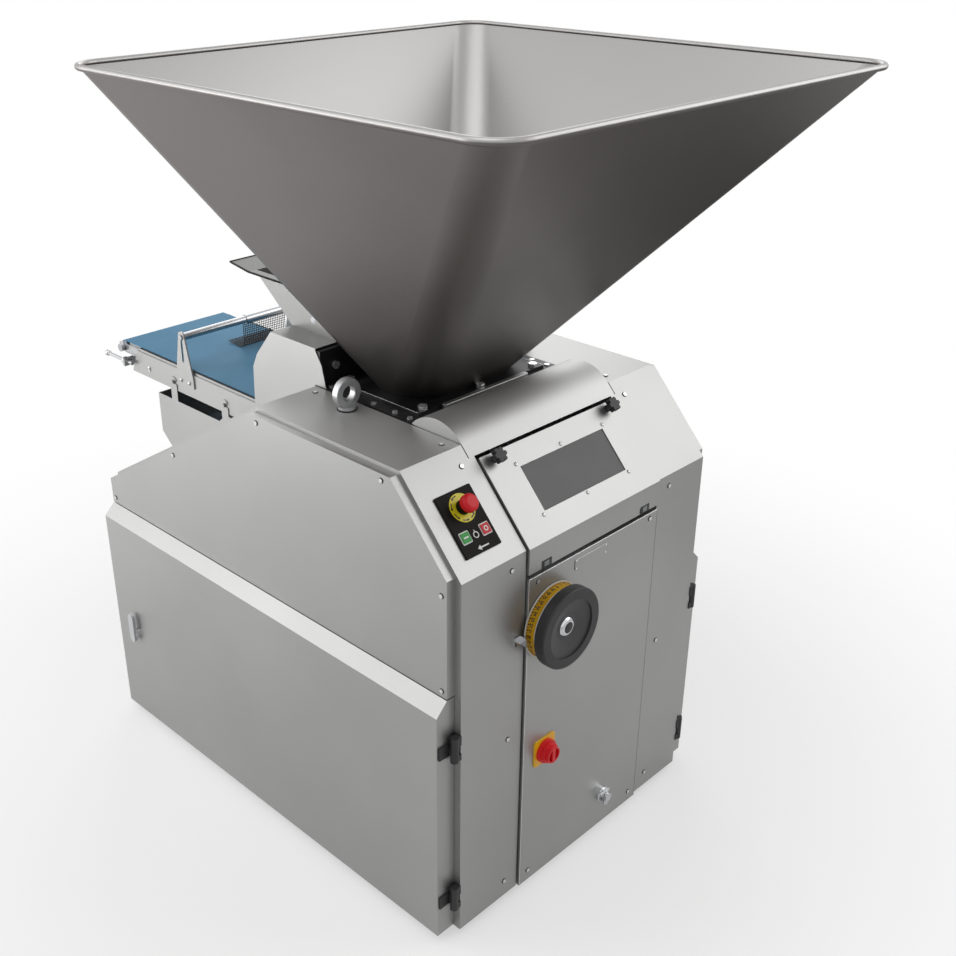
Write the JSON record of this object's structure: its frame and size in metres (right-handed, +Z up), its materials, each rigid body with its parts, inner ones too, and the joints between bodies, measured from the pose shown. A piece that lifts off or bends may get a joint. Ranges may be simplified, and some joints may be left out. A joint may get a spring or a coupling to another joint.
{
  "type": "piston dough divider",
  "caption": "Bakery dough divider: square funnel hopper over a grey sheet-metal cabinet, piston measuring head, handwheel portion adjuster and short blue delivery belt.",
  "frame": {"origin": "on the floor, under the middle of the machine's bounding box", "axes": "+Z up, the front with the handwheel faces -Y, the belt carries dough towards +Y"},
  "size_m": [1.154, 1.8271, 1.7565],
  "materials": {
    "cabinet_grey": "satin light grey powder coat",
    "stainless": "satin stainless sheet",
    "bright_steel": "polished steel",
    "machined_steel": "machined steel",
    "frame_steel": "grey primer",
    "black_casting": "black coated casting",
    "black_plastic": "black moulded plastic",
    "black_metal": "black powder coat",
    "red_plastic": "red moulded plastic",
    "green_plastic": "green key",
    "yellow_plastic": "yellow moulded plastic",
    "grey_pane": "grey tinted sheet",
    "belt_blue": "blue belt cloth with a smooth cover",
    "foot_rubber": "black rubber",
    "motor_grey": "grey machine enamel"
  },
  "bodies": {
    "cabinet": {"left_side_panel": "cabinet_grey", "right_side_panel": "cabinet_grey", "control_column": "cabinet_grey", "right_front_cover": "cabinet_grey", "left_top_cover": "cabinet_grey", "right_top_cover": "cabinet_grey", "front_panel": "cabinet_grey", "back_panel": "cabinet_grey", "front_hood": "cabinet_grey", "head_cover": "cabinet_grey", "hopper": "stainless", "flour_hopper": "stainless", "conveyor_frame": "stainless", "mat_brackets": "stainless", "crumb_tray": "stainless", "lifting_eyes": "bright_steel", "flange_bolts": "bright_steel", "tension_screws": "bright_steel", "dial_pointer": "bright_steel", "drain_tap": "bright_steel", "panel_screws": "bright_steel", "mat_rod": "bright_steel", "base_frame": "frame_steel", "dough_chamber": "black_casting", "hopper_flange": "black_casting", "control_plate": "black_plastic", "hinge_brackets": "black_metal", "isolator_plate": "yellow_plastic", "conveyor_belt": "belt_blue", "levelling_feet": "foot_rubber", "gear_motor": "motor_grey"},
    "left_door": {"left_door": "cabinet_grey", "left_door_hinges": "black_metal"},
    "right_door": {"right_door": "cabinet_grey", "right_door_hinges": "black_metal"},
    "left_door_handle": {"left_door_handle": "bright_steel"},
    "right_door_handle": {"right_door_handle": "bright_steel"},
    "inspection_cover": {"inspection_cover": "cabinet_grey", "window_pane": "grey_pane"},
    "left_star_knob": {"left_star_knob": "black_plastic"},
    "right_star_knob": {"right_star_knob": "black_plastic"},
    "handwheel": {"handwheel": "black_plastic", "dial_drum": "yellow_plastic", "adjusting_screw": "bright_steel"},
    "adjusting_nut": {"adjusting_nut": "machined_steel"},
    "emergency_stop": {"emergency_stop_button": "red_plastic"},
    "start_button": {"start_button": "green_plastic"},
    "stop_button": {"stop_button": "red_plastic"},
    "isolator_handle": {"isolator_handle": "red_plastic"},
    "main_ram": {"main_ram": "machined_steel"},
    "knife_plate": {"knife_plate": "machined_steel"},
    "measuring_drum": {"measuring_drum": "machined_steel"},
    "measuring_pistons": {"measuring_pistons": "machined_steel"},
    "flour_roller": {"flour_roller": "stainless"},
    "drive_roller": {"drive_roller": "machined_steel"},
    "end_roller": {"end_roller": "bright_steel"},
    "mesh_mat": {"mesh_mat": "bright_steel"},
    "crank_disc": {"crank_disc": "machined_steel"},
    "ram_lever": {"ram_lever": "machined_steel"},
    "connecting_rod": {"connecting_rod": "machined_steel"}
  },
  "joints": [
    {"name": "left_door_swing", "type": "hinge", "parent": "cabinet", "child": "left_door", "pos_m": [-0.415, -0.67185, 0.32], "axis": [0, 0, 1], "range_deg": [0, 110]},
    {"name": "right_door_swing", "type": "hinge", "parent": "cabinet", "child": "right_door", "pos_m": [0.404, -0.67185, 0.32], "axis": [0, 0, -1], "range_deg": [0, 110]},
    {"name": "left_handle_turn", "type": "hinge", "parent": "left_door", "child": "left_door_handle", "pos_m": [-0.4514, 0.46655, 0.283], "axis": [-1, 0, 0], "range_deg": [0, 90]},
    {"name": "right_handle_turn", "type": "hinge", "parent": "right_door", "child": "right_door_handle", "pos_m": [0.4404, 0.46655, 0.283], "axis": [1, 0, 0], "range_deg": [0, 90]},
    {"name": "inspection_tilt", "type": "hinge", "parent": "cabinet", "child": "inspection_cover", "pos_m": [0, -0.66945, 0.844], "axis": [1, 0, 0], "range_deg": [0, 100]},
    {"name": "left_knob_turn", "type": "hinge", "parent": "inspection_cover", "child": "left_star_knob", "pos_m": [-0.182, -0.54736, 1.03273], "axis": [0, -0.7386, 0.6742], "continuous": true},
    {"name": "right_knob_turn", "type": "hinge", "parent": "inspection_cover", "child": "right_star_knob", "pos_m": [0.182, -0.54736, 1.03273], "axis": [0, -0.7386, 0.6742], "continuous": true},
    {"name": "handwheel_turn", "type": "hinge", "parent": "cabinet", "child": "handwheel", "pos_m": [-0.141, -0.72545, 0.702], "axis": [0, -1, 0], "range_deg": [0, 3600]},
    {"name": "nut_slide", "type": "slide", "parent": "cabinet", "child": "adjusting_nut", "axis": [0, 1, 0], "range_m": [0, 0.04]},
    {"name": "emergency_stop_press", "type": "slide", "parent": "cabinet", "child": "emergency_stop", "axis": [0, 0.7386, -0.6742], "range_m": [0, 0.005], "stiffness_N_per_m": 800},
    {"name": "start_press", "type": "slide", "parent": "cabinet", "child": "start_button", "axis": [0, 0.7386, -0.6742], "range_m": [0, 0.002], "stiffness_N_per_m": 500},
    {"name": "stop_press", "type": "slide", "parent": "cabinet", "child": "stop_button", "axis": [0, 0.7386, -0.6742], "range_m": [0, 0.002], "stiffness_N_per_m": 500},
    {"name": "isolator_turn", "type": "hinge", "parent": "cabinet", "child": "isolator_handle", "pos_m": [-0.148, -0.68545, 0.37], "axis": [0, -1, 0], "range_deg": [0, 90]},
    {"name": "ram_slide", "type": "slide", "parent": "cabinet", "child": "main_ram", "axis": [0, 1, 0], "range_m": [0, 0.17]},
    {"name": "knife_slide", "type": "slide", "parent": "cabinet", "child": "knife_plate", "axis": [0, 1, 0], "range_m": [0, 0.17]},
    {"name": "drum_turn", "type": "hinge", "parent": "cabinet", "child": "measuring_drum", "pos_m": [0, 0.01455, 1.02], "axis": [1, 0, 0], "range_deg": [0, 90]},
    {"name": "piston_slide", "type": "slide", "parent": "measuring_drum", "child": "measuring_pistons", "axis": [0, -1, 0], "range_m": [0, 0.038]},
    {"name": "flour_roller_turn", "type": "hinge", "parent": "cabinet", "child": "flour_roller", "pos_m": [0, 0.01555, 1.187], "axis": [1, 0, 0], "continuous": true},
    {"name": "drive_roller_turn", "type": "hinge", "parent": "cabinet", "child": "drive_roller", "pos_m": [0, -0.03545, 0.914], "axis": [1, 0, 0], "continuous": true},
    {"name": "end_roller_turn", "type": "hinge", "parent": "cabinet", "child": "end_roller", "pos_m": [0, 0.84655, 0.914], "axis": [1, 0, 0], "continuous": true},
    {"name": "mat_swing", "type": "hinge", "parent": "cabinet", "child": "mesh_mat", "pos_m": [0, 0.53955, 1.02], "axis": [1, 0, 0], "range_deg": [0, 35]},
    {"name": "crank_turn", "type": "hinge", "parent": "cabinet", "child": "crank_disc", "pos_m": [0, -0.08245, 0.43832], "axis": [1, 0, 0], "continuous": true},
    {"name": "lever_swing", "type": "hinge", "parent": "cabinet", "child": "ram_lever", "pos_m": [0, -0.41245, 0.13], "axis": [-1, 0, 0], "range_deg": [0, 11.95]},
    {"name": "rod_swing", "type": "hinge", "parent": "ram_lever", "child": "connecting_rod", "pos_m": [0.016, -0.44472, 0.43832], "axis": [1, 0, 0], "range_deg": [0, 11.95]}
  ],
  "couplings": [
    {"joint": "nut_slide", "follows": "handwheel_turn", "m_per_rad": 0.00063662},
    {"joint": "end_roller_turn", "follows": "drive_roller_turn", "ratio": 1},
    {"joint": "lever_swing", "follows": "ram_slide", "rad_per_m": 1.2271},
    {"joint": "rod_swing", "follows": "ram_slide", "rad_per_m": 1.2271}
  ]
}
